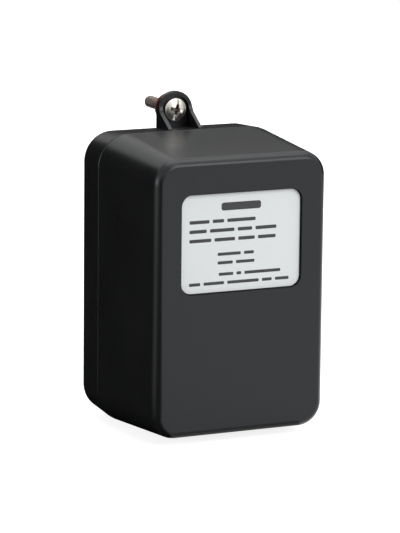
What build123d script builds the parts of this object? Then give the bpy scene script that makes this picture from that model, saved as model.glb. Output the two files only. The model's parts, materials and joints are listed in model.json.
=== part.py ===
from build123d import *
import math
import os

# Plug-in alarm panel transformer: a welded two-part case that hangs on its own mains blades.
# Frame: +Z up, +Y into the wall, front towards -Y. The origin lies on the wall plane, midway
# between the two blades. Lengths are millimetres and angles are degrees.

# Core of stamped laminations: each of their sizes is a multiple of one unit
lam_unit = 8.0
stack_depth = 23.0

# Room round the core, and the moulded case that wraps it
core_side_gap = 0.55
core_end_room = 19.25
core_clamp_gap = 0.1
coil_rear_gap = 3.1
coil_front_gap = 1.0
side_wall = 2.0
back_wall = 2.2
pocket_wall = 1.7
case_corner = 9.15
cover_draft = 4.1
base_draft = 3.55
front_bevel = 1.55
bevel_outer_round = 3.0
bevel_inner_round = 1.6
back_round = 1.15
seam_round = 0.4
tongue_wall = 0.95
tongue_height = 2.0
tongue_gap = 0.15
post_radius = 2.5
shelf_thickness = 1.5
shelf_reach = 6.0
shelf_gap = 0.3

# Label and the pocket that it lies in
label_width = 36.0
label_height = 27.3
label_corner = 3.0
label_thickness = 0.2
label_gap = 0.35
label_rise = 15.2
pocket_depth = 1.2

# Mounting ear, its captive screw and the fibre washer that keeps the screw in
screw_rise = 15.24
ear_lift = 4.4
ear_radius = 5.35
ear_wall = 1.2
ear_setback = 0.9
ear_web = 0.8
ear_rim = 1.9
ear_foot = 9.7
ear_knee = 3.0
ear_round = 0.35
screw_radius = 1.75
neck_radius = 1.5
screw_length = 17.46
screw_point = 0.6
head_radius = 3.3
head_height = 2.1
head_rim = 0.8
screw_clearance = 0.25
head_gap = 0.1
fibre_radius = 4.2
fibre_thickness = 0.8
fibre_play = 2.5
fibre_gap = 0.05

# Mains blades
blade_pitch = 12.7
blade_width = 6.35
blade_thickness = 1.52
blade_reach = 17.0
blade_tip_round = 1.3
blade_tip_bevel = 0.4
blade_hole_radius = 1.6
blade_hole_reach = 11.7
blade_slot_gap = 0.1
boss_depth = 2.0
boss_wall = 1.6
shoulder_rise = 1.2
shoulder_depth = 1.5
solder_tab_width = 4.8
solder_tab_length = 4.5
solder_hole_radius = 0.8

# Two-section bobbin, its windings and its pins
flange_gap = 0.4
flange_thickness = 1.0
flange_corner = 1.5
tube_gap = 0.3
tube_wall = 1.0
bobbin_end_gap = 0.2
winding_gap = 0.1
winding_build = 5.2
winding_corner = 0.6
tape_thickness = 0.25
pin_side = 0.8
pin_inset = 4.6
pin_proud = 5.0
pin_fit = 0.05
rail_width = 4.0
rail_height = 1.2

# Thermal fuse on the primary's flange, and the leads
fuse_radius = 2.0
fuse_length = 10.0
fuse_nose = 1.6
fuse_gap = 0.3
fuse_seat = 0.05
fuse_wire_radius = 0.4
fuse_wire_length = 1.6
lead_radius = 0.8
lead_loop = 4.5
bend_share = 0.45

# Screw terminals in two bays under the base
bay_width = 10.6
bay_depth = 8.8
bay_barrier = 2.6
bay_front_wall = 1.3
bay_side_wall = 1.6
bay_roof = 1.8
plate_thickness = 1.0
plate_width = 6.4
plate_overlap = 4.2
plate_tab_rise = 3.0
plate_gap = 0.2
plate_bend = 0.5
clamp_thickness = 0.9
clamp_corner = 0.8
clamp_play = 0.5
clamp_gap = 0.1
terminal_radius = 1.6
terminal_length = 7.9
terminal_point = 0.5
terminal_head_radius = 3.0
terminal_head_height = 2.0
terminal_head_rim = 0.8
terminal_clearance = 0.15
well_wall = 1.3
well_cap = 0.9

# How far an edge may lie from a plane and still count as in it
plane_tolerance = 0.01

# Sizes and places that follow from those above
core_width = 6 * lam_unit
core_height = 5 * lam_unit
flange_reach = lam_unit - flange_gap
front_wall = pocket_depth + pocket_wall
base_depth = back_wall + coil_rear_gap + flange_reach
cover_depth = stack_depth + flange_reach + coil_front_gap + front_wall
stack_draft = stack_depth * math.tan(math.radians(cover_draft))
case_width = core_width + 2 * (core_side_gap + side_wall + stack_draft)
case_height = core_height + 2 * (core_end_room + side_wall)
case_top = screw_rise - ear_lift
case_middle = case_top - case_height / 2
case_bottom = case_top - case_height
seam_y = -base_depth
front_y = seam_y - cover_depth
core_y = seam_y - stack_depth / 2
core_front_y = seam_y - stack_depth
back_inside_y = -back_wall
front_inside_y = front_y + front_wall

# The posts of both case halves meet the middles of the core's outer legs
post_x = 2.5 * lam_unit
post_z = 2 * lam_unit

# Bobbin and pins
bobbin_half = 1.5 * lam_unit - bobbin_end_gap
tube_inner_x = lam_unit + tube_gap
tube_inner_y = stack_depth / 2 + tube_gap
flange_x = lam_unit + flange_reach
flange_y = stack_depth / 2 + flange_reach
section_height = bobbin_half - 1.5 * flange_thickness
pin_x = flange_x - pin_inset
pin_y = seam_y + fuse_gap + fuse_radius
pin_reach = bobbin_half + rail_height + pin_proud

# Blades
boss_y = back_inside_y - boss_depth
shoulder_y = boss_y - blade_slot_gap
solder_tab_y = shoulder_y - shoulder_depth
solder_tab_end_y = solder_tab_y - solder_tab_length

# Thermal fuse
fuse_z = case_middle + bobbin_half + fuse_seat + fuse_radius
fuse_left = -pin_x + pin_side / 2
fuse_body_left = fuse_left + fuse_wire_length
fuse_body_right = fuse_body_left + fuse_length
fuse_right = fuse_body_right + fuse_wire_length

# Terminal bays
bay_x = (bay_barrier + bay_width) / 2
bay_back_y = back_inside_y
bay_front_y = seam_y + bay_front_wall
bay_y = (bay_back_y + bay_front_y) / 2
bay_length = bay_back_y - bay_front_y
roof_z = case_bottom + bay_depth
roof_top_z = roof_z + bay_roof
clamp_z = roof_z - plate_thickness - clamp_gap - clamp_thickness
terminal_head_z = clamp_z - clamp_gap
terminal_tip_z = terminal_head_z + terminal_length
well_top_z = terminal_tip_z + terminal_clearance
tab_outer_x = bay_x + bay_width / 2 - plate_gap
tab_top_z = roof_top_z + plate_tab_rise

# Mounting screw: the fibre washer sits at the end of its neck, because the thread behind is too wide for it.
# Until it is driven in, the screw can slide forward by the washer's play behind the ear
ear_front_y = -ear_setback - ear_web
head_seat_y = ear_front_y - head_gap
fibre_y = -ear_setback + fibre_play
neck_length = fibre_y + fibre_thickness + fibre_gap - head_seat_y
thread_start = neck_length + screw_radius - neck_radius


def front_plane(y, x=0.0, z=case_middle):
    """Sketch plane that faces the front: sketch X runs right and sketch Y runs up."""
    return Plane((x, y, z), x_dir=(1, 0, 0), z_dir=(0, -1, 0))


def back_plane(y, x=0.0, z=case_middle):
    """Sketch plane that faces the wall: sketch X runs left and sketch Y runs up."""
    return Plane((x, y, z), x_dir=(-1, 0, 0), z_dir=(0, 1, 0))


def level_plane(z, x=0.0, y=core_y):
    """Level sketch plane: sketch X runs right and sketch Y runs back to the wall."""
    return Plane((x, y, z), x_dir=(1, 0, 0), z_dir=(0, 0, 1))


def block(x_range, y_range, z_range):
    """Rectangular solid between two limits on each axis, in either order."""
    spans = [(min(span), max(span)) for span in (x_range, y_range, z_range)]
    corner = [low for low, high in spans]
    size = [high - low for low, high in spans]
    return Pos(*corner) * Box(*size, align=(Align.MIN, Align.MIN, Align.MIN))


def edges_at_y(solid, y):
    """Edges of a solid that lie in the plane at y."""
    flat = solid.edges().filter_by(lambda edge: edge.bounding_box().size.Y < plane_tolerance)
    return flat.filter_by(lambda edge: abs(edge.center().Y - y) < plane_tolerance)


def case_outline(inset):
    """Rounded outline of the case at the seam, moved in by an inset."""
    return RectangleRounded(case_width - 2 * inset, case_height - 2 * inset, case_corner - inset)


def cover_core(inset, depth):
    """Drafted body that starts at the seam and narrows to the front."""
    return extrude(front_plane(seam_y) * case_outline(inset), depth, taper=cover_draft)


def base_core(inset, depth):
    """Drafted body that starts at the seam and narrows to the wall."""
    return extrude(back_plane(seam_y) * case_outline(inset), depth, taper=base_draft)


def post_places():
    """Centres of the four posts, as X and height."""
    return [(x, case_middle + z) for x in (-post_x, post_x) for z in (-post_z, post_z)]


def make_front_cover():
    """Deep moulded cover: drafted shell, bevelled front edge, label pocket, and ribs that hold the core."""
    bevel_y = front_y + front_bevel
    bevel_inset = (cover_depth - front_bevel) * math.tan(math.radians(cover_draft))
    bevel = extrude(front_plane(bevel_y) * case_outline(bevel_inset), front_bevel, taper=45)
    outer = cover_core(0, cover_depth - front_bevel) + bevel
    outer = fillet(edges_at_y(outer, bevel_y), bevel_outer_round)
    outer = fillet(edges_at_y(outer, front_y), bevel_inner_round)
    outer = fillet(edges_at_y(outer, seam_y), seam_round)

    shell = outer - cover_core(side_wall, cover_depth - front_wall)
    shell -= cover_core(side_wall - tongue_wall - tongue_gap, tongue_height + tongue_gap)

    post_length = core_front_y - core_clamp_gap - front_inside_y
    post = Circle(post_radius)
    posts = [extrude(back_plane(front_inside_y, x, z) * post, post_length) for x, z in post_places()]
    shelf_y = (front_inside_y, seam_y - tongue_height - 2 * tongue_gap)
    shelf_low = core_height / 2 + shelf_gap
    shelf_inner_x = case_width / 2 - side_wall - shelf_reach
    shelves = []
    for side in (-1, 1):
        for end in (-1, 1):
            span_x = (side * shelf_inner_x, side * case_width / 2)
            span_z = (case_middle + end * shelf_low, case_middle + end * (shelf_low + shelf_thickness))
            shelves.append(block(span_x, shelf_y, span_z))
    ribs = Part() + posts + shelves
    shell += ribs & cover_core(side_wall / 2, cover_depth - front_wall / 2)

    pocket = RectangleRounded(
        label_width + 2 * label_gap, label_height + 2 * label_gap, label_corner + label_gap
    )
    return shell - extrude(front_plane(front_y, z=case_middle + label_rise) * pocket, -pocket_depth)


def make_rating_label():
    """Thin label with round corners, stuck on the floor of the pocket."""
    outline = RectangleRounded(label_width, label_height, label_corner)
    return extrude(front_plane(front_y + pocket_depth, z=case_middle + label_rise) * outline, label_thickness)


def ear_outline(inset):
    """Arched outline of the ear round the screw's axis, with straight sides down into the base."""
    radius = ear_radius - inset
    legs = ear_lift + base_depth * math.tan(math.radians(base_draft)) + side_wall / 2
    return Circle(radius) + Pos(0, -legs / 2) * Rectangle(2 * radius, legs)


def make_ear():
    """Ear with a recess for the screw's head and two gussets that slope down to the base."""
    plane = front_plane(-ear_setback, z=screw_rise)
    body = extrude(plane * ear_outline(0), ear_foot - ear_setback)
    rim_y = -ear_setback - ear_rim
    high = screw_rise + 2 * ear_radius
    far = -2 * ear_foot
    fall = (screw_rise - case_top) / (ear_foot + rim_y)
    slope = make_face(Polyline(
        (rim_y, high), (rim_y, screw_rise), (far, screw_rise + fall * (far - rim_y)), (far, high), close=True,
    ))
    knee = slope.vertices().sort_by_distance((rim_y, screw_rise))[0]
    body -= extrude(Plane.YZ * fillet(knee, ear_knee), 2 * ear_radius, both=True)
    rim_edges = body.edges().filter_by(lambda edge: edge.bounding_box().size.Z > ear_round)
    body = fillet(rim_edges, ear_round)
    recess = extrude(front_plane(ear_front_y, z=screw_rise) * ear_outline(ear_wall), ear_foot)
    return body, recess


def terminal_block():
    """Solid at the bottom of the base that the two terminal bays are cut from, with its blind wells."""
    half_width = bay_x + bay_width / 2 + bay_side_wall
    solid = block((-half_width, half_width), (back_inside_y, seam_y), (case_bottom, roof_top_z))
    well = Circle(terminal_radius + terminal_clearance + well_wall)
    for side in (-1, 1):
        height = well_top_z + well_cap - roof_top_z
        solid += extrude(level_plane(roof_top_z, side * bay_x, bay_y) * well, height)
    return solid


def terminal_cuts():
    """Bays, screw wells and slots for the terminal plates' tabs."""
    cuts = []
    for side in (-1, 1):
        span_x = (side * bay_barrier / 2, side * (bay_barrier / 2 + bay_width))
        cuts.append(block(span_x, (bay_back_y, bay_front_y), (case_bottom - bay_depth, roof_z)))
        well = Circle(terminal_radius + terminal_clearance)
        cuts.append(extrude(level_plane(roof_z, side * bay_x, bay_y) * well, well_top_z - roof_z))
        slot_x = (side * (tab_outer_x + plate_gap), side * (tab_outer_x - plate_thickness - plate_gap))
        slot_half = plate_width / 2 + plate_gap
        cuts.append(block(slot_x, (bay_y - slot_half, bay_y + slot_half), (roof_z, roof_top_z)))
    return cuts


def make_rear_base():
    """Shallow moulded base: drafted tray with the ear, blade bosses, core posts and terminal bays."""
    outer = base_core(0, base_depth)
    outer = fillet(edges_at_y(outer, 0), back_round)
    outer = fillet(edges_at_y(outer, seam_y), seam_round)
    tray = outer - base_core(side_wall, base_depth - back_wall)
    tongue_inset = side_wall - tongue_wall
    tray += cover_core(tongue_inset, tongue_height) - cover_core(side_wall, tongue_height)
    tray += terminal_block() & outer

    post_length = back_inside_y - seam_y - core_clamp_gap
    for x, z in post_places():
        tray += extrude(front_plane(back_inside_y, x, z) * Circle(post_radius), post_length)
    boss = Rectangle(blade_thickness + 2 * boss_wall, blade_width + 2 * boss_wall)
    slot = Rectangle(blade_thickness + 2 * blade_slot_gap, blade_width + 2 * blade_slot_gap)
    for x in (-blade_pitch / 2, blade_pitch / 2):
        tray += extrude(front_plane(back_inside_y, x, 0) * boss, boss_depth)
    for x in (-blade_pitch / 2, blade_pitch / 2):
        tray -= extrude(front_plane(0, x, 0) * slot, back_wall + boss_depth)

    ear, recess = make_ear()
    tray += ear - base_core(side_wall / 2, base_depth)
    tray -= recess - outer
    tray -= extrude(front_plane(0, z=screw_rise) * Circle(screw_radius + screw_clearance), ear_foot)
    return tray - terminal_cuts()


def free_end(radius, length, point):
    """Half outline of a screw's free end, from its axis out to the bevelled point."""
    return [(0, length), (radius - point, length), (radius, length - point)]


def screw_solid(plane, shank, cap_radius, cap_height, cap_rim):
    """Pan-head screw turned round the plane's normal, with its head's underside on the plane."""
    rise = cap_height - cap_rim
    crown_radius = (cap_radius**2 + rise**2) / (2 * rise)
    sides = Polyline((0, -cap_height), *shank, (cap_radius, 0), (cap_radius, -cap_rim))
    crown = RadiusArc((cap_radius, -cap_rim), (0, -cap_height), crown_radius)
    return plane * revolve(Plane.XZ * make_face(sides + crown), Axis.Z)


def make_mounting_screw():
    """Captive pan-head machine screw through the ear, with a neck that the fibre washer sits on."""
    neck = [(screw_radius, thread_start), (neck_radius, neck_length), (neck_radius, 0)]
    shank = free_end(screw_radius, screw_length, screw_point) + neck
    return screw_solid(back_plane(head_seat_y, z=screw_rise), shank, head_radius, head_height, head_rim)


def make_screw_washer():
    """Fibre washer at the end of the screw's neck behind the ear, which keeps the screw from falling out."""
    ring = Circle(fibre_radius) - Circle(neck_radius + fibre_gap)
    return extrude(back_plane(fibre_y, z=screw_rise) * ring, fibre_thickness)


def make_blade(side):
    """Flat stamped blade: pin outside, shoulder behind the boss and a solder tab inside."""
    half = blade_width / 2
    shoulder = half + shoulder_rise
    tab = solder_tab_width / 2
    pin = Pos((blade_reach + shoulder_y) / 2, 0) * Rectangle(blade_reach - shoulder_y, blade_width)
    tip = pin.vertices().group_by(Axis.X)[-1]
    pin = fillet(tip, blade_tip_round)
    wide = Pos((shoulder_y + solder_tab_y) / 2, 0) * Rectangle(shoulder_depth, 2 * shoulder)
    tail = Pos((solder_tab_y + solder_tab_end_y) / 2, 0) * Rectangle(solder_tab_length, 2 * tab)
    sheet = pin + wide + tail
    sheet -= Pos(blade_hole_reach, 0) * Circle(blade_hole_radius)
    sheet -= Pos(solder_tab_end_y + tab / 2 + solder_hole_radius, 0) * Circle(solder_hole_radius)
    plane = Plane((side * blade_pitch / 2, 0, 0), x_dir=(0, 1, 0), z_dir=(1, 0, 0))
    solid = extrude(plane * sheet, blade_thickness / 2, both=True)
    ends = solid.edges().filter_by(lambda edge: edge.center().Y > blade_reach - blade_tip_round)
    ends = ends.filter_by(lambda edge: edge.bounding_box().size.X < plane_tolerance)
    return chamfer(ends, blade_tip_bevel)


def make_core_e():
    """Stack of E stampings: a back and three legs that point up."""
    sheet = Pos(0, -lam_unit / 2) * Rectangle(core_width, core_height - lam_unit)
    window = Rectangle(lam_unit, core_height - 2 * lam_unit)
    for side in (-1, 1):
        sheet -= Pos(side * 1.5 * lam_unit, 0) * window
    return extrude(front_plane(seam_y) * sheet, stack_depth)


def make_core_i():
    """Stack of I stampings that closes the E's legs on top."""
    sheet = Pos(0, core_height / 2 - lam_unit / 2) * Rectangle(core_width, lam_unit)
    return extrude(front_plane(seam_y) * sheet, stack_depth)


def coil_outline(margin):
    """Rounded outline round the bobbin's tube, a margin outside its inner wall."""
    return RectangleRounded(2 * (tube_inner_x + margin), 2 * (tube_inner_y + margin), winding_corner + margin)


def make_bobbin():
    """Two-section bobbin: a tube, three flanges and a pin rail at each end of its rear edge."""
    bottom = case_middle - bobbin_half
    bore = Rectangle(2 * tube_inner_x, 2 * tube_inner_y)
    solid = extrude(level_plane(bottom) * (coil_outline(tube_wall) - bore), 2 * bobbin_half)
    flange = RectangleRounded(2 * flange_x, 2 * flange_y, flange_corner) - bore
    for step in (0, 1, 2):
        height = bottom + step * (section_height + flange_thickness)
        solid += extrude(level_plane(height) * flange, flange_thickness)
    rail_back_y = core_y + flange_y - flange_corner
    hole = Rectangle(pin_side + 2 * pin_fit, pin_side + 2 * pin_fit)
    for end in (-1, 1):
        rail_z = (case_middle + end * bobbin_half, case_middle + end * (bobbin_half + rail_height))
        for side in (-1, 1):
            rail_x = (side * pin_x - rail_width / 2, side * pin_x + rail_width / 2)
            solid += block(rail_x, (seam_y + fuse_gap, rail_back_y), rail_z)
            solid -= extrude(level_plane(min(rail_z), side * pin_x, pin_y) * hole, rail_height)
    return solid


def make_bobbin_pins():
    """Four square pins pressed into the rails: two up for the primary, two down for the secondary."""
    pins = []
    for end in (-1, 1):
        for side in (-1, 1):
            span_x = (side * pin_x - pin_side / 2, side * pin_x + pin_side / 2)
            span_y = (pin_y - pin_side / 2, pin_y + pin_side / 2)
            span_z = (case_middle + end * bobbin_half, case_middle + end * pin_reach)
            pins.append(block(span_x, span_y, span_z))
    return Compound(children=pins)


def section_bottom(upper):
    """Height of the floor of a bobbin section."""
    lower = case_middle - bobbin_half + flange_thickness
    return lower + upper * (section_height + flange_thickness)


def coil_ring(upper, inner, thickness):
    """Closed ring of one thickness that fills the height of a bobbin section."""
    ring = coil_outline(inner + thickness) - coil_outline(inner)
    height = section_height - 2 * winding_gap
    return extrude(level_plane(section_bottom(upper) + winding_gap) * ring, height)


def make_winding(upper):
    """Layers of enamelled wire, as one solid ring."""
    return coil_ring(upper, tube_wall + winding_gap, winding_build)


def make_tape(upper):
    """Turns of tape over a winding."""
    return coil_ring(upper, tube_wall + 2 * winding_gap + winding_build, tape_thickness)


def make_thermal_fuse():
    """Axial thermal cut-off on the top flange: metal can, resin nose and two wires."""
    plane = Plane((fuse_left, pin_y, fuse_z), x_dir=(0, 0, 1), z_dir=(1, 0, 0))
    wire = Circle(fuse_wire_radius)
    solid = extrude(plane * wire, fuse_right - fuse_left)
    solid += extrude(plane.offset(fuse_wire_length) * Circle(fuse_radius), fuse_length - fuse_nose)
    nose = loft([
        plane.offset(fuse_wire_length + fuse_length - fuse_nose) * Circle(fuse_radius),
        plane.offset(fuse_wire_length + fuse_length) * Circle(2 * fuse_wire_radius),
    ])
    return solid + nose


def lead_along(points):
    """Round insulated lead along straight runs, with each bend as wide as the runs beside it allow."""
    radii = []
    for before, corner, after in zip(points, points[1:], points[2:]):
        run_in = Vector(*corner) - Vector(*before)
        run_out = Vector(*after) - Vector(*corner)
        half_turn = math.radians(run_in.get_angle(run_out) / 2)
        radii.append(bend_share * min(run_in.length, run_out.length) / math.tan(half_turn))
    path = FilletPolyline(*points, radius=radii)
    start = Plane(path @ 0, z_dir=path % 0)
    return sweep(start * Circle(lead_radius), path=path)


def hanging_lead(top, bottom):
    """Lead that leaves a piece straight down and arrives at another from straight above."""
    third = (top[2] - bottom[2]) / 3
    return lead_along([
        top, (top[0], top[1], top[2] - third), (bottom[0], bottom[1], bottom[2] + third), bottom,
    ])


def make_fuse_lead():
    """Lead from the fuse's right wire, back over the fuse and up to the left blade's tab."""
    tab = (-blade_pitch / 2, (solder_tab_y + solder_tab_end_y) / 2, -solder_tab_width / 2)
    turn_z = (fuse_z + fuse_radius + tab[2]) / 2
    loop_x = fuse_right + lead_loop
    return lead_along([
        (fuse_right, pin_y, fuse_z),
        (loop_x, pin_y, fuse_z),
        (loop_x, tab[1], turn_z),
        (tab[0], tab[1], turn_z),
        tab,
    ])


def make_primary_lead():
    """Lead from the right blade's tab to the right primary pin."""
    tab = (blade_pitch / 2, (solder_tab_y + solder_tab_end_y) / 2, -solder_tab_width / 2)
    return hanging_lead(tab, (pin_x, pin_y, case_middle + pin_reach))


def make_secondary_lead(side):
    """Lead from a secondary pin to the tab of the terminal plate under it."""
    tab_x = side * (tab_outer_x - plate_thickness / 2)
    return hanging_lead((side * pin_x, pin_y, case_middle - pin_reach), (tab_x, bay_y, tab_top_z))


def make_terminal_plate(side):
    """Bent strip under the roof of a bay, tapped for its screw, with a tab up through the roof."""
    inner_x = bay_x - plate_overlap
    bend_x = tab_outer_x - plate_thickness
    outline = Polyline(
        (inner_x, roof_z), (bend_x, roof_z), (bend_x, tab_top_z), (tab_outer_x, tab_top_z),
        (tab_outer_x, roof_z - plate_thickness), (inner_x, roof_z - plate_thickness), close=True,
    )
    sheet = make_face(outline)
    corner = sheet.vertices().sort_by(Axis.X)[-2:].sort_by(Axis.Y)[0]
    sheet = fillet(corner, plate_bend)
    plane = Plane((0, bay_y, 0), x_dir=(1, 0, 0), z_dir=(0, -1, 0))
    solid = extrude(plane * sheet, plate_width / 2, both=True)
    hole = Circle(terminal_radius + terminal_clearance)
    solid -= extrude(level_plane(roof_z - plate_thickness, bay_x, bay_y) * hole, plate_thickness)
    return solid if side > 0 else mirror(solid, Plane.YZ)


def make_clamp_washer(side):
    """Square captive washer that slides in its bay without turning and presses the wire on the plate."""
    width = bay_length - 2 * clamp_play
    outline = RectangleRounded(width, width, clamp_corner) - Circle(terminal_radius + terminal_clearance)
    return extrude(level_plane(clamp_z, side * bay_x, bay_y) * outline, clamp_thickness)


def make_terminal_screw(side):
    """Terminal screw with its head down in the mouth of the bay."""
    shank = free_end(terminal_radius, terminal_length, terminal_point) + [(terminal_radius, 0)]
    plane = level_plane(terminal_head_z, side * bay_x, bay_y)
    return screw_solid(plane, shank, terminal_head_radius, terminal_head_height, terminal_head_rim)


pieces = {
    "front_cover": make_front_cover(),
    "rear_base": make_rear_base(),
    "rating_label": make_rating_label(),
    "mounting_screw": make_mounting_screw(),
    "screw_washer": make_screw_washer(),
    "core_e_stack": make_core_e(),
    "core_i_stack": make_core_i(),
    "bobbin": make_bobbin(),
    "bobbin_pins": make_bobbin_pins(),
    "primary_winding": make_winding(upper=1),
    "secondary_winding": make_winding(upper=0),
    "primary_tape": make_tape(upper=1),
    "secondary_tape": make_tape(upper=0),
    "thermal_fuse": make_thermal_fuse(),
    "fuse_lead": make_fuse_lead(),
    "primary_lead": make_primary_lead(),
}
for word, side in (("left", -1), ("right", 1)):
    pieces[f"blade_{word}"] = make_blade(side)
    pieces[f"secondary_lead_{word}"] = make_secondary_lead(side)
    pieces[f"terminal_plate_{word}"] = make_terminal_plate(side)
    pieces[f"clamp_washer_{word}"] = make_clamp_washer(side)
    pieces[f"terminal_screw_{word}"] = make_terminal_screw(side)

os.makedirs("parts", exist_ok=True)
for name, piece in pieces.items():
    export_step(piece, f"parts/{name}.step")
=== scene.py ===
import json
import math
import bpy
import numpy as np
from mathutils import Matrix, Vector


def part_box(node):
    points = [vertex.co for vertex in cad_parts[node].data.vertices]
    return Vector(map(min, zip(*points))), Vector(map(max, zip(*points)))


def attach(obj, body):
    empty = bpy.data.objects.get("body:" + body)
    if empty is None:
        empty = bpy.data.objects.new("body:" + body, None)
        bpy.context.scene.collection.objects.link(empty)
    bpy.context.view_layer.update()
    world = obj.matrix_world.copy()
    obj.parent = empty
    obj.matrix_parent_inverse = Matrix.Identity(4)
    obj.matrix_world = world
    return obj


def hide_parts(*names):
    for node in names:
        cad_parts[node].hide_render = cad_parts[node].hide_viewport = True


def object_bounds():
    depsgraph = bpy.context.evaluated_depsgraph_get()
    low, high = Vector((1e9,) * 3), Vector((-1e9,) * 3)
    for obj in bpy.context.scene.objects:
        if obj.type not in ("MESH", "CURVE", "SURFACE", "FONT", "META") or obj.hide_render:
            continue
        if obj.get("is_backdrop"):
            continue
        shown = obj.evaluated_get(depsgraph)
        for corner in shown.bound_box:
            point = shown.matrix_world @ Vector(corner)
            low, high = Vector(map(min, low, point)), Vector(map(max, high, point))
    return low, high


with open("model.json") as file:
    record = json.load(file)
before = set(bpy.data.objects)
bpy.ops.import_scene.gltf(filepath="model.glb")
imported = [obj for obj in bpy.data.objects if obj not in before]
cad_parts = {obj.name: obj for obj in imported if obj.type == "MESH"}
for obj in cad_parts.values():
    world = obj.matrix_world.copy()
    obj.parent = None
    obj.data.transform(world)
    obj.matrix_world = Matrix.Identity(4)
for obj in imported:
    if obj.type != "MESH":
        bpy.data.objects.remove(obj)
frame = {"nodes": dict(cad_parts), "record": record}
cad_low, cad_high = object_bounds()

# Case
# Cover and base are black injection-moulded shells with a fine eroded grain, welded together along the
# seam. They keep the shape of their solids and get the plastic, which is a little uneven in tone and gloss.
mm = 0.001
case_nodes = ("front_cover", "rear_base")
plastic_dark = (0.0080, 0.0083, 0.0089, 1)
plastic_light = (0.0112, 0.0116, 0.0124, 1)
plastic_mirror = (0.93, 0.97, 1.0, 1)
plastic_gloss = 0.32
plastic_roughness = 0.3
flow_blotches = 55
flow_spread = 0.1
grain_blotches = 3600
grain_spread = 0.08
grain_depth = 0.012 * mm


class Wire:
    """One socket of a node tree: arithmetic on values adds Math nodes, and node() adds any other node."""

    def __init__(self, tree, socket=None):
        self.tree = tree
        self.socket = socket

    def node(self, kind, settings, inputs, output=0):
        """Adds a node: its settings first, then a value or a wire on each input. Gives one of its outputs."""
        made = self.tree.nodes.new(kind)
        for name, value in settings.items():
            setattr(made, name, value)
        for key, value in inputs.items():
            feed(self.tree, made.inputs[key], value)
        return Wire(self.tree, made.outputs[output])

    def maths(self, operation, first, second=0.0):
        """Adds a Math node on one or two values."""
        return self.node("ShaderNodeMath", {"operation": operation}, {0: first, 1: second})

    def __add__(self, other):
        return self.maths("ADD", self, other)

    def __sub__(self, other):
        return self.maths("SUBTRACT", self, other)

    def __rsub__(self, other):
        return self.maths("SUBTRACT", other, self)

    def __mul__(self, other):
        return self.maths("MULTIPLY", self, other)

    __radd__ = __add__
    __rmul__ = __mul__


def feed(tree, socket, value):
    """Links a wire to a socket, or sets the socket to a number, a vector or a colour."""
    if isinstance(value, Wire):
        tree.links.new(value.socket, socket)
    else:
        socket.default_value = value


def new_finish(name):
    """A new material with its main shader alone."""
    material = bpy.data.materials.new(name)
    material.use_nodes = True
    return material


def place_on(material):
    """The wire of Object coordinates that a material's patterns start from."""
    return Wire(material.node_tree).node("ShaderNodeTexCoord", {}, {}, output="Object")


def set_shader(material, inputs):
    """Feeds the sockets of the material's main shader."""
    shader = material.node_tree.nodes["Principled BSDF"]
    for key, value in inputs.items():
        feed(material.node_tree, shader.inputs[key], value)


def noise(place, blotches, detail=2.0):
    """Cloudy noise with about this many blotches to a metre."""
    return place.node("ShaderNodeTexNoise", {}, {"Vector": place, "Scale": blotches, "Detail": detail})


def blend_colours(share, first, second):
    """The first colour where share is 0, the second where it is 1."""
    return share.node("ShaderNodeMix", {"data_type": "RGBA"}, {0: share, 6: first, 7: second}, output=2)


def raised(height, depth):
    """Surface normal of a pattern that stands out by this depth."""
    return height.node("ShaderNodeBump", {}, {"Height": height, "Distance": depth, "Strength": 1.0})


def dress(node, material):
    """Gives a solid of the frame its finished material."""
    for holder in frame["nodes"][node].material_slots:
        holder.material = material


black_plastic = new_finish("black_plastic")
place = place_on(black_plastic)
flow = noise(place, flow_blotches)
grain = noise(place, grain_blotches)
set_shader(black_plastic, {
    "Base Color": blend_colours(flow, plastic_dark, plastic_light),
    "Roughness": plastic_roughness + flow_spread * (flow - 0.5) + grain_spread * (grain - 0.5),
    "Specular IOR Level": plastic_gloss,
    "Specular Tint": plastic_mirror,
    "Normal": raised(grain, grain_depth),
})
for node in case_nodes:
    dress(node, black_plastic)

# Core
# The E and I stacks are punched from silicon steel sheet half a millimetre thick and dipped in varnish,
# so their long sides show the edges of the sheets as fine lines.
sheet_thickness = 0.5 * mm
sheet_relief = 0.05 * mm
core_dark = (0.10, 0.092, 0.085, 1)
core_light = (0.26, 0.25, 0.24, 1)
core_roughness = (0.35, 0.6)
varnish_blotches = 300


def stripes(place, axis, pitch):
    """Even lines across one axis, as 0.5 + 0.5 * sin(2 * pi * distance / pitch)."""
    along = place.node("ShaderNodeSeparateXYZ", {}, {0: place}, output=axis)
    wave = place.maths("SINE", along * (2 * math.pi / pitch))
    return 0.5 + 0.5 * wave


def between(share, low, high):
    """A number that goes from low where share is 0 to high where it is 1."""
    return low + (high - low) * share


varnished_steel = new_finish("varnished_steel")
place = place_on(varnished_steel)
sheets = stripes(place, "Y", sheet_thickness)
varnish = noise(place, varnish_blotches)
set_shader(varnished_steel, {
    "Base Color": blend_colours(sheets * varnish, core_dark, core_light),
    "Metallic": 0.7,
    "Roughness": between(varnish, *core_roughness),
    "Normal": raised(sheets, sheet_relief),
})
for node in ("core_e_stack", "core_i_stack"):
    dress(node, varnished_steel)

# Bobbin and its pins
# The bobbin is one moulding of natural nylon with a flange at each end and one between the coils. Four
# square pins of tinned brass are pressed into its rails.
nylon_shade = (0.66, 0.63, 0.55, 1)
nylon_clear = (0.76, 0.74, 0.68, 1)
nylon_depth = {"Subsurface Weight": 0.15, "Subsurface Radius": (1.2 * mm, 1.0 * mm, 0.7 * mm)}
tin_dark = (0.56, 0.55, 0.52, 1)
tin_light = (0.74, 0.73, 0.70, 1)
bare_metal = {"Metallic": 1.0}


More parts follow.
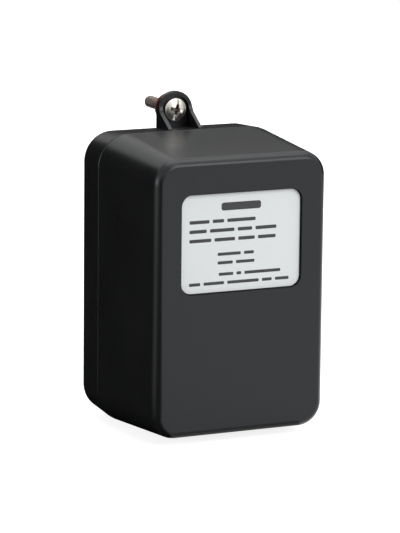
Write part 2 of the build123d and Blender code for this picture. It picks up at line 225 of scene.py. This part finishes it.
def cloudy_finish(name, dark, light, blotches, roughness, relief, detail=2.0, grain=None, constants=None):
    """Finish whose colour goes from dark to light, and its roughness from low to high, with cloudy noise.

    The relief follows the same noise, or a finer one with this many grains to a metre. Constants are values
    of other sockets, the same all over the surface.
    """
    material = new_finish(name)
    place = place_on(material)
    cloud = noise(place, blotches, detail)
    height = noise(place, grain) if grain else cloud
    set_shader(material, {
        "Base Color": blend_colours(cloud, dark, light),
        "Roughness": between(cloud, *roughness),
        "Normal": raised(height, relief),
        **(constants or {}),
    })
    return material


nylon = cloudy_finish(
    "natural_nylon", nylon_shade, nylon_clear, blotches=90, roughness=(0.4, 0.55),
    grain=2500, relief=0.01 * mm, constants=nylon_depth,
)
dress("bobbin", nylon)

tinned_brass = cloudy_finish(
    "tinned_brass", tin_dark, tin_light, blotches=700, roughness=(0.25, 0.45),
    relief=0.03 * mm, constants=bare_metal,
)
dress("bobbin_pins", tinned_brass)

# Windings and tape
# The upper coil is the mains winding of fine enamelled wire, the lower one has few turns of thick wire.
# A turn of yellow polyester tape covers each of them.
wire_pitches = {"primary": 0.22 * mm, "secondary": 0.75 * mm}
wire_relief = 0.25
enamel_groove_shade = (0.30, 0.085, 0.03, 1)
enamel_crest_highlight = (0.66, 0.27, 0.10, 1)
enamel_roughness = (0.3, 0.45)
enamel_blotches = 400
tape_low = (0.66, 0.47, 0.06, 1)
tape_high = (0.82, 0.64, 0.14, 1)

# Each turn's colour is painted darker in the groove between wires as shade and lighter on its crest as a
# highlight, along the same stripes as its relief
for coil, pitch in wire_pitches.items():
    enamel = new_finish(f"enamelled_wire_{coil}")
    place = place_on(enamel)
    turns = stripes(place, "Z", pitch)
    set_shader(enamel, {
        "Base Color": blend_colours(turns, enamel_groove_shade, enamel_crest_highlight),
        "Metallic": 0.85,
        "Roughness": between(noise(place, enamel_blotches), *enamel_roughness),
        "Normal": raised(turns, wire_relief * pitch),
    })
    dress(f"{coil}_winding", enamel)

tape_film = cloudy_finish(
    "polyester_tape", tape_low, tape_high, blotches=260, detail=3.0, roughness=(0.22, 0.42), relief=0.06 * mm,
)
for node in ("primary_tape", "secondary_tape"):
    dress(node, tape_film)

# Thermal fuse and leads
# The fuse is a small plated can with a resin nose, laid on the top flange. The leads are stranded wire in
# black flexible insulation, soldered to pins, blades and terminal plates.
can_dull = (0.50, 0.49, 0.46, 1)
can_bright = (0.70, 0.69, 0.66, 1)
insulation_dark = (0.020, 0.020, 0.022, 1)
insulation_light = (0.036, 0.036, 0.039, 1)

plated_can = cloudy_finish(
    "plated_can", can_dull, can_bright, blotches=500, roughness=(0.3, 0.5),
    relief=0.02 * mm, constants={"Metallic": 0.9},
)
dress("thermal_fuse", plated_can)

insulation = cloudy_finish(
    "lead_insulation", insulation_dark, insulation_light, blotches=350, roughness=(0.4, 0.6),
    relief=0.03 * mm,
)
for node in ("fuse_lead", "primary_lead", "secondary_lead_left", "secondary_lead_right"):
    dress(node, insulation)

# Label
# A satin silver film with round corners is stuck in the pocket of the cover. Its print is rows of plain
# bars in dark ink, a hair thick.
label_low, label_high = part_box("rating_label")
label_middle = (label_low + label_high) / 2
film_low = (0.80, 0.83, 0.84, 1)
film_high = (0.87, 0.895, 0.905, 1)
ink_dark = (0.020, 0.021, 0.023, 1)
ink_light = (0.045, 0.046, 0.048, 1)
ink_thickness = 0.02 * mm
bar_gap = 1.0 * mm
bar_corner = 0.3
corner_steps = 4

# Each row: its height above the label's middle, the bars' height, the start from the left, and their
# lengths, in millimetres
bar_rows = (
    (10.0, 2.2, 12.0, (12.0,)),
    (6.1, 0.95, 2.4, (6.0, 3.4, 8.6)),
    (3.5, 0.95, 2.4, (5.2, 7.4, 4.4, 6.4)),
    (0.9, 0.95, 2.4, (6.6, 6.2, 5.0, 5.4)),
    (-3.2, 0.85, 11.0, (7.0, 3.0)),
    (-5.6, 0.85, 11.0, (4.6, 5.6)),
    (-8.8, 0.85, 11.4, (4.4, 1.4, 11.0)),
    (-11.2, 0.85, 2.4, (3.4, 6.2, 9.6, 3.0, 4.2)),
)


def new_piece(name, points, faces, material, sharp_angle=math.radians(35)):
    """Mesh piece at the origin from points and faces, smooth except across edges sharper than the angle."""
    mesh = bpy.data.meshes.new(name)
    mesh.from_pydata(points.tolist(), [], faces)
    mesh.shade_smooth()
    mesh.set_sharp_from_angle(angle=sharp_angle)
    mesh.materials.append(material)
    piece = bpy.data.objects.new(name, mesh)
    bpy.context.scene.collection.objects.link(piece)
    return piece


def printed_bars(bars, front, back):
    """Flat bars with round corners that face the front. Each row of bars is a middle, a length and a height.

    A bar's outline goes round four corner arcs: the corner's middle plus its radius times cosine and sine,
    where the radius is a share of the bar's height.
    """
    quarter = np.linspace(0, math.pi / 2, corner_steps)
    turn = (quarter + np.arange(4)[:, None] * math.pi / 2).ravel()
    side_x = np.repeat([1, -1, -1, 1], corner_steps)
    side_z = np.repeat([1, 1, -1, -1], corner_steps)
    x, z, length, height = bars.T[:, :, None]
    radius = bar_corner * height
    outline_x = x + side_x * (length / 2 - radius) + radius * np.cos(turn)
    outline_z = z + side_z * (height / 2 - radius) + radius * np.sin(turn)
    layers = [np.stack([outline_x, np.full_like(outline_x, y), outline_z], axis=-1) for y in (front, back)]
    points = np.stack(layers, axis=1)
    count, around = points.shape[0], points.shape[2]
    start = 2 * around * np.arange(count)[:, None]
    ring = np.arange(around)
    ahead = np.roll(ring, -1)
    fronts = start + ring
    backs = start + around + ring[::-1]
    walls = np.stack([ring, ring + around, ahead + around, ahead], axis=-1)
    walls = (start[:, :, None] + walls).reshape(-1, 4)
    return points.reshape(-1, 3), fronts.tolist() + backs.tolist() + walls.tolist()


satin_film = cloudy_finish(
    "satin_film", film_low, film_high, blotches=40, roughness=(0.42, 0.54), grain=5000, relief=0.004 * mm,
)
dress("rating_label", satin_film)

dark_ink = cloudy_finish(
    "dark_ink", ink_dark, ink_light, blotches=1500, roughness=(0.5, 0.7), relief=0.004 * mm,
)
bars = []
for height, thick, start, lengths in bar_rows:
    left = label_low.x + start * mm
    for length in lengths:
        bars.append((left + length * mm / 2, label_middle.z + height * mm, length * mm, thick * mm))
        left += length * mm + bar_gap
ink_mesh = printed_bars(np.array(bars), label_low.y - ink_thickness, label_low.y + ink_thickness)
label_print = new_piece("label_print", *ink_mesh, dark_ink)
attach(label_print, "case")

# Mounting screw and fibre washer
# A nickel-plated steel machine screw, cold headed and thread rolled. Its pan head has a cross recess and a
# slot. It turns in the ear, and the red fibre washer on its neck keeps it from falling out.
screw_low, screw_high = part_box("mounting_screw")
screw_middle = (screw_low + screw_high) / 2
screw_mount = next(mount for mount in frame["record"]["mounts"] if mount["name"] == "wall_screw")
washer_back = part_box("screw_washer")[1].y
head_height = 2.1 * mm
rim_height = 0.8 * mm
edge_round = 0.3 * mm
neck_radius = 1.5 * mm
neck_play = 0.05 * mm
tip_bevel = 0.6 * mm
thread_pitch = 25.4 / 32 * mm
thread_depth = 0.42 * mm
thread_peak = 1.35
thread_flank = 2.5
recess_turn = math.radians(12)
recess_sizes = {"reach": 1.95 * mm, "width": 1.05 * mm, "heart": 0.95 * mm, "depth": 1.7 * mm}
recess_shade = 0.8 * mm
end_slope = 1.5
side_slope = 4.5
slot_width = 0.85 * mm
slot_floor = 1.05 * mm
points_around = 144
crown_rings = 64
edge_rings = 6
rings_per_pitch = 12
nickel_dark = (0.50, 0.47, 0.42, 1)
nickel_light = (0.74, 0.71, 0.655, 1)
# Painted shade for the deep walls of the recess, also used to make the thread beyond the neck darker than the
# head
shade_and_thread_dark = (0.10, 0.083, 0.075, 1)
shade_and_thread_light = (0.22, 0.185, 0.165, 1)
fibre_dark = (0.11, 0.014, 0.012, 1)
fibre_light = (0.26, 0.035, 0.028, 1)


def cross_recess(across, up, reach, width, heart, depth):
    """Depth of a cross recess at a point, from two wings and a heart, and at most the depth of its floor.

    Each of the three is as deep as its nearest sloping wall allows, and the deepest of them counts.
    """
    wings = []
    for along, beside in ((across, up), (up, across)):
        ends = end_slope * (reach - np.abs(along))
        sides = side_slope * (width / 2 - np.abs(beside))
        wings.append(np.minimum(ends, sides))
    middle = side_slope * (heart - np.hypot(across, up))
    deepest = np.maximum(np.maximum(*wings), middle)
    return np.clip(deepest, 0, depth)


def screw_rings(head_radius, head_height, neck_radius, neck_end, outside, tip_end, tip_bevel, recess):
    """Rings of radius and distance along a screw, from the middle of its head to its free end.

    The crown is a ball's cap with the cross and a slot with a flat floor sunk in it. The thread's radius
    rises and falls with the fraction of a turn left over from distance / pitch - angle / (2 * pi), as a V
    that is cut blunt at crest and root. The last result marks the points deep in the recess, which get
    painted shade.
    """
    angle = np.linspace(0, 2 * math.pi, points_around, endpoint=False)
    rise = head_height - rim_height
    ball = (head_radius**2 + rise**2) / (2 * rise)
    inner = head_radius - edge_round
    radius = np.linspace(0, inner, crown_rings + 1)[1:, None] * np.ones_like(angle)
    crown = ball - head_height - np.sqrt(ball**2 - radius**2)
    turned = angle - recess_turn
    up, across = radius * np.cos(turned), radius * np.sin(turned)
    slot = np.minimum(side_slope * (slot_width / 2 - np.abs(across)), slot_floor - head_height - crown)
    sunk = np.clip(np.maximum(cross_recess(across, up, **recess), slot), 0, None)
    rows = [(radius, crown + sunk)]

    edge = np.linspace(0, math.pi / 2, edge_rings + 1)[1:, None]
    drop = np.stack([inner + edge_round * np.sin(edge), crown[-1:, :1] + edge_round * (1 - np.cos(edge))])
    rows.append(drop * np.ones_like(angle))
    under = np.array([(head_radius, 0), (neck_radius, 0), (neck_radius, neck_end)])
    rows.append(under.T[:, :, None] * np.ones_like(angle))

    steps = round((tip_end - neck_end) / thread_pitch * rings_per_pitch)
    along = np.linspace(neck_end, tip_end, steps)[1:, None]
    turn = along / thread_pitch - angle / (2 * math.pi)
    ridge = np.clip(thread_peak - thread_flank * np.abs(turn - np.floor(turn) - 0.5), 0, 1)
    lead_in = np.clip((along - neck_end) / thread_pitch, 0, 1)
    root = outside - thread_depth
    threaded = root + thread_depth * ridge * lead_in + (neck_radius - root) * (1 - lead_in)
    bevelled = np.minimum(threaded, outside - tip_bevel + (tip_end - along))
    rows.append((bevelled, along * np.ones_like(angle)))
    radius = np.concatenate([row[0] for row in rows])
    distance = np.concatenate([row[1] for row in rows])
    shaded_recess = np.zeros(radius.shape, bool)
    shaded_recess[:crown_rings] = sunk > recess_shade
    return angle, radius, distance, shaded_recess


def turned_piece(angle, radius, distance, origin, axes):
    """Rings of points round an axis, joined by quads and closed by a fan at each end.

    A point is origin + radius * (cos(angle) * first + sin(angle) * second) + distance * axis.
    """
    first, second, axis = np.array(axes, float)
    spoke = np.cos(angle)[:, None] * first + np.sin(angle)[:, None] * second
    rings = np.array(origin) + radius[:, :, None] * spoke + distance[:, :, None] * axis
    count, around = radius.shape
    ends = rings[[0, -1]].mean(axis=1)
    points = np.concatenate([rings.reshape(-1, 3), ends])
    ring = np.arange(around)
    ahead = np.roll(ring, -1)
    start = around * np.arange(count - 1)[:, None]
    walls = np.stack([start + ring, start + ahead, start + around + ahead, start + around + ring], axis=-1)
    last = around * (count - 1)
    head_fan = np.stack([np.full(around, len(points) - 2), ahead, ring], axis=-1)
    tip_fan = np.stack([np.full(around, len(points) - 1), last + ring, last + ahead], axis=-1)
    return points, walls.reshape(-1, 4).tolist() + head_fan.tolist() + tip_fan.tolist()


def new_screw(name, seat, axes, **sizes):
    """Screw with the underside of its head at the seat, along the last of the axes.

    Head and neck are bright. The deep walls of the recess and the fan in its middle are painted dark as
    shade, and the walls beyond the neck and the fan at the tip are painted the same dark colour.
    """
    angle, radius, distance, shaded_recess = screw_rings(**sizes)
    screw = new_piece(name, *turned_piece(angle, radius, distance, seat, axes), bright_nickel)
    screw.data.materials.append(dark_thread_and_recess_shade)
    walls = shaded_recess[:-1] | (distance[:-1] >= sizes["neck_end"])
    fans = np.ones(2 * points_around, bool)
    painted_dark = np.concatenate([walls.ravel(), fans])
    screw.data.polygons.foreach_set("material_index", painted_dark.astype(np.int32))
    return screw


plating = {
    "blotches": 900, "roughness": (0.3, 0.42), "grain": 4500, "relief": 0.006 * mm, "constants": bare_metal,
}
bright_nickel = cloudy_finish("bright_nickel", nickel_dark, nickel_light, **plating)
# Dark finish that paints shade into the deep recess and paints the thread beyond the neck darker
dark_thread_and_recess_shade = cloudy_finish("dark_thread_and_recess_shade", shade_and_thread_dark, shade_and_thread_light, **plating)
seat_y = screw_low.y + head_height
captive_screw = new_screw(
    "captive_screw", (screw_middle.x, seat_y, screw_middle.z), ((0, 0, 1), (1, 0, 0), (0, 1, 0)),
    head_radius=(screw_high.x - screw_low.x) / 2, head_height=head_height,
    neck_radius=neck_radius, neck_end=washer_back + neck_play - seat_y,
    outside=screw_mount["dims"]["r_mm"] * mm, tip_end=screw_high.y - seat_y, tip_bevel=tip_bevel,
    recess=recess_sizes,
)
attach(captive_screw, "wall_screw")
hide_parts("mounting_screw")

red_fibre = cloudy_finish(
    "red_fibre", fibre_dark, fibre_light, blotches=1200, detail=4.0, roughness=(0.6, 0.85), relief=0.04 * mm,
)
dress("screw_washer", red_fibre)

# Mains blades
# Flat blades stamped from brass strip and nickel plated, moulded fast in the base. Rolling leaves fine
# lines along them.
blade_dark = (0.56, 0.53, 0.47, 1)
blade_light = (0.72, 0.69, 0.62, 1)
blade_roughness = 0.24
rolling_stretch = (1, 30, 1)
rolling_lines = 3000
rolling_spread = 0.12
rolling_depth = 0.008 * mm
wear_blotches = 150
wear_spread = 0.1

plated_blade = new_finish("plated_blade")
place = place_on(plated_blade)
stretched = place.node(
    "ShaderNodeMapping", {"vector_type": "TEXTURE"}, {"Vector": place, "Scale": rolling_stretch},
)
rolled = noise(stretched, rolling_lines)
worn = noise(place, wear_blotches)
set_shader(plated_blade, {
    "Base Color": blend_colours(worn, blade_dark, blade_light),
    "Metallic": 1.0,
    "Roughness": blade_roughness + rolling_spread * rolled + wear_spread * worn,
    "Normal": raised(rolled, rolling_depth),
})
for node in ("blade_left", "blade_right"):
    dress(node, plated_blade)

# Screw terminals
# In each bay a brass plate takes a steel screw, which draws a square zinc-plated washer up on the bare wire.
# The screws have the same head and thread as the mounting screw, a little smaller.
terminal_head_height = 2.0 * mm
terminal_radius = 1.6 * mm
terminal_neck = 0.4 * mm
terminal_bevel = 0.5 * mm
terminal_recess = {"reach": 1.75 * mm, "width": 0.95 * mm, "heart": 0.85 * mm, "depth": 1.5 * mm}
brass_dark = (0.50, 0.34, 0.11, 1)
brass_light = (0.72, 0.53, 0.21, 1)
zinc_dark = (0.46, 0.47, 0.48, 1)
zinc_light = (0.68, 0.69, 0.70, 1)

plain_brass = cloudy_finish(
    "plain_brass", brass_dark, brass_light, blotches=200, detail=3.0, roughness=(0.22, 0.42),
    grain=2500, relief=0.006 * mm, constants=bare_metal,
)
zinc_plate = cloudy_finish(
    "zinc_plate", zinc_dark, zinc_light, blotches=900, roughness=(0.28, 0.48),
    relief=0.01 * mm, constants=bare_metal,
)
for side in ("left", "right"):
    dress(f"terminal_plate_{side}", plain_brass)
    dress(f"clamp_washer_{side}", zinc_plate)
    low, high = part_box(f"terminal_screw_{side}")
    middle = (low + high) / 2
    seat_z = low.z + terminal_head_height
    binding_screw = new_screw(
        f"binding_screw_{side}", (middle.x, middle.y, seat_z), ((1, 0, 0), (0, 1, 0), (0, 0, 1)),
        head_radius=(high.x - low.x) / 2, head_height=terminal_head_height,
        neck_radius=terminal_radius, neck_end=terminal_neck,
        outside=terminal_radius, tip_end=high.z - seat_z, tip_bevel=terminal_bevel,
        recess=terminal_recess,
    )
    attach(binding_screw, f"terminal_{side}")
    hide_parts(f"terminal_screw_{side}")

# Floor
# A plain pale floor at the height of the case's lowest edge, which keeps the shadow of the object. The
# camera, metal and glass see it nearly as white as the room behind it.
floor_reach = 6.0
floor_colour = (0.55, 0.55, 0.55, 1)
floor_glow = (0.84, 0.84, 0.84, 1)
black = (0, 0, 0, 1)


def seen_rays(tree):
    """1 for rays from the camera and from mirrors and glass, and 0 for light that spreads."""
    kinds = ("Is Camera Ray", "Is Glossy Ray", "Is Transmission Ray")
    camera, mirror, glass = [Wire(tree).node("ShaderNodeLightPath", {}, {}, output=kind) for kind in kinds]
    return camera.maths("MAXIMUM", camera, camera.maths("MAXIMUM", mirror, glass))


pale_floor = new_finish("pale_floor")
set_shader(pale_floor, {
    "Base Color": floor_colour,
    "Roughness": 0.9,
    "Specular IOR Level": 0.0,
    "Emission Color": blend_colours(seen_rays(pale_floor.node_tree), black, floor_glow),
    "Emission Strength": 1.0,
})
corners = floor_reach * np.array([(-1, -1), (1, -1), (1, 1), (-1, 1)])
floor_points = np.column_stack([corners, np.full(4, cad_low.z)])
floor = new_piece("floor", floor_points, [(0, 1, 2, 3)], pale_floor)
floor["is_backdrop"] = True

# Dark surround
# A black cloth lies and stands round the object, outside the picture, where only the gloss of the surfaces
# mirrors it. It keeps the left side deep black and the lower edges dark, and is open at the front.
cloth_black = (0.002, 0.002, 0.002, 1)
cloth_middle = (cad_low.y + cad_high.y) / 2
cloth_height = cad_low.z + 1.0 * mm
cloth_steps = (136, 8)

# Each row: the angle round the object from its right side over its back, how far out the cloth starts and
# ends on the floor, and how high it stands up there
cloth_rows = np.array([
    (-14, 0.30, 0.30, 0),
    (-6, 0.30, 0.30, 0.14),
    (0, 0.39, 0.40, 0.20),
    (12, 0.39, 0.40, 0.20),
    (16, 0.39, 0.40, 0.21),
    (62, 0.39, 0.40, 0.24),
    (88, 0.39, 0.40, 0.20),
    (93, 0.23, 0.40, 0.20),
    (108, 0.045, 0.40, 0.27),
    (130, 0, 0.40, 0.32),
    (164, 0, 0.40, 0.30),
    (168, 0, 0.08, 0),
    (206, 0, 0.08, 0),
    (210, 0, 0.40, 0.22),
    (232, 0, 0.40, 0.19),
    (240, 0.054, 0.40, 0.18),
    (250, 0.079, 0.30, 0),
    (258, 0.05, 0.05, 0),
])


def dark_surround(low, middle_y):
    """A sheet round the object, along the floor and then up a wall.

    A point is the distance times cosine and sine of the angle. The distance grows from the foot to the reach
    on the floor, and then the height grows to the rise.
    """
    turns = cloth_rows[:, 0]
    angle = np.linspace(turns[0], turns[-1], cloth_steps[0] + 1)[:, None]
    foot, reach, rise = [np.interp(angle, turns, row) for row in cloth_rows[:, 1:].T]
    share = np.linspace(0, 1, cloth_steps[1])
    out = np.concatenate([share, np.ones_like(share[1:])])
    lift = np.concatenate([np.zeros_like(share), share[1:]])
    distance = foot + (reach - foot) * out
    height = rise * lift + low
    turn = np.radians(angle)
    points = np.stack([distance * np.cos(turn), distance * np.sin(turn) + middle_y, height], axis=-1)
    rows, columns = points.shape[:2]
    corner = (np.arange(rows - 1)[:, None] * columns + np.arange(columns - 1)).ravel()
    faces = np.stack([corner, corner + columns, corner + columns + 1, corner + 1], axis=-1)
    return points.reshape(-1, 3), faces.tolist()


def for_gloss_only(piece):
    """Makes a piece of the studio that only mirroring surfaces see."""
    piece.visible_camera = False
    piece.visible_diffuse = False
    piece.visible_transmission = False
    piece.visible_shadow = False
    piece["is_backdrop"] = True


black_cloth = new_finish("black_cloth")
set_shader(black_cloth, {"Base Color": cloth_black, "Roughness": 1.0, "Specular IOR Level": 0.0})
cloth = new_piece("black_cloth", *dark_surround(cloth_height, cloth_middle), black_cloth)
for_gloss_only(cloth)

# Grey cards
# One grey card lies under the front of the case and reaches a little out, as the shade on a table does. The
# other lies in the opening of the cloth at the left and draws the line of light down the front left edge.
card_glow = (0.4, 0.4, 0.4, 1)
card_height = cad_low.z + 1.2 * mm
card_margin = 4 * mm
card_width = 40 * mm
card_turns = np.radians([166, 208])
card_reach = np.array([0.075, 0.7])

grey_card = new_finish("grey_card")
set_shader(grey_card, {"Base Color": black, "Emission Color": card_glow, "Emission Strength": 1.0})
front_x = card_width / 2 * np.array([-1, 1, 1, -1])
front_y = cad_low.y + card_margin * np.array([-1, -1, 2, 2])
left_x = np.repeat(card_reach, 2) * np.cos(card_turns)[[0, 1, 1, 0]]
left_y = np.repeat(card_reach, 2) * np.sin(card_turns)[[0, 1, 1, 0]] + cloth_middle
card_x = np.concatenate([front_x, left_x])
card_y = np.concatenate([front_y, left_y])
card_points = np.column_stack([card_x, card_y, np.full(8, card_height)])
card = new_piece("grey_cards", card_points, [(0, 1, 2, 3), (4, 5, 6, 7)], grey_card)
for_gloss_only(card)

# Room
# The space round the studio. The camera, metal and glass see it white, and it lights the object softly
# from all sides.
room_white = (1, 1, 1, 1)
room_light = 0.3

room = bpy.data.worlds.new("room")
room.use_nodes = True
bpy.context.scene.world = room
sky = room.node_tree.nodes["Background"]
sky.inputs["Color"].default_value = room_white
feed(room.node_tree, sky.inputs["Strength"], between(seen_rays(room.node_tree), room_light, 1))

# Light
# Large soft boxes, as in a product studio: one above and in front, one overhead, and one behind that gloss
# doesn't mirror. A small strip at the left adds to the bright line down the case's front left edge.
lamp_target = Vector((0, -0.02, -0.03))


def soft_box(name, place, width, height, power):
    """Rectangular lamp at a place, turned to the object."""
    lamp = bpy.data.lights.new(name, "AREA")
    lamp.shape = "RECTANGLE"
    lamp.size, lamp.size_y = width, height
    lamp.energy = power
    holder = bpy.data.objects.new(name, lamp)
    holder.location = place
    holder.rotation_euler = (lamp_target - Vector(place)).to_track_quat("-Z", "Y").to_euler()
    holder.visible_camera = False
    bpy.context.scene.collection.objects.link(holder)
    return holder


soft_box("front_box", place=(0.35, -0.8, 0.6), width=0.7, height=0.7, power=6.4)
soft_box("top_box", place=(0.1, 0.1, 0.9), width=0.8, height=0.8, power=4.5)
back_box = soft_box("back_box", place=(0.25, 0.85, 0.25), width=0.6, height=0.6, power=6.0)
back_box.visible_glossy = False
soft_box("left_strip", place=(-0.29, -0.06, 0.03), width=0.05, height=0.09, power=0.15)

# Camera
# It stands in front and to the left of the object and a little above it, as far away as for a long lens,
# with its middle a little beside the middle of the case.
camera_yaw = math.radians(25.163)
camera_pitch = math.radians(11.156)
camera_roll = math.radians(0.596)
camera_distance = 918.0 * mm
camera_right = 8.58 * mm
camera_down = 0.36 * mm
case_middle = Vector((0, 0, -30.41 * mm))
focal_pixels = 3184.4
image_height = 533

cos_yaw, sin_yaw = math.cos(camera_yaw), math.sin(camera_yaw)
cos_pitch, sin_pitch = math.cos(camera_pitch), math.sin(camera_pitch)
ahead = Vector((sin_yaw * cos_pitch, cos_yaw * cos_pitch, -sin_pitch))
level = Vector((cos_yaw, -sin_yaw, 0))
upright = level.cross(ahead)
right = level * math.cos(camera_roll) + upright * math.sin(camera_roll)
up = upright * math.cos(camera_roll) - level * math.sin(camera_roll)

lens = bpy.data.cameras.new("camera")
lens.lens = lens.sensor_width * focal_pixels / image_height
camera = bpy.data.objects.new("camera", lens)
turn = Matrix((right, up, -ahead)).transposed().to_4x4()
stand = case_middle + right * camera_right - up * camera_down - ahead * camera_distance
camera.matrix_world = Matrix.Translation(stand) @ turn
bpy.context.scene.collection.objects.link(camera)
bpy.context.scene.camera = camera
bpy.context.scene.view_settings.view_transform = "Standard"

# Size
# The box of the finished object; the box of the solids was taken before the new pieces were added.
low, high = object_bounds()
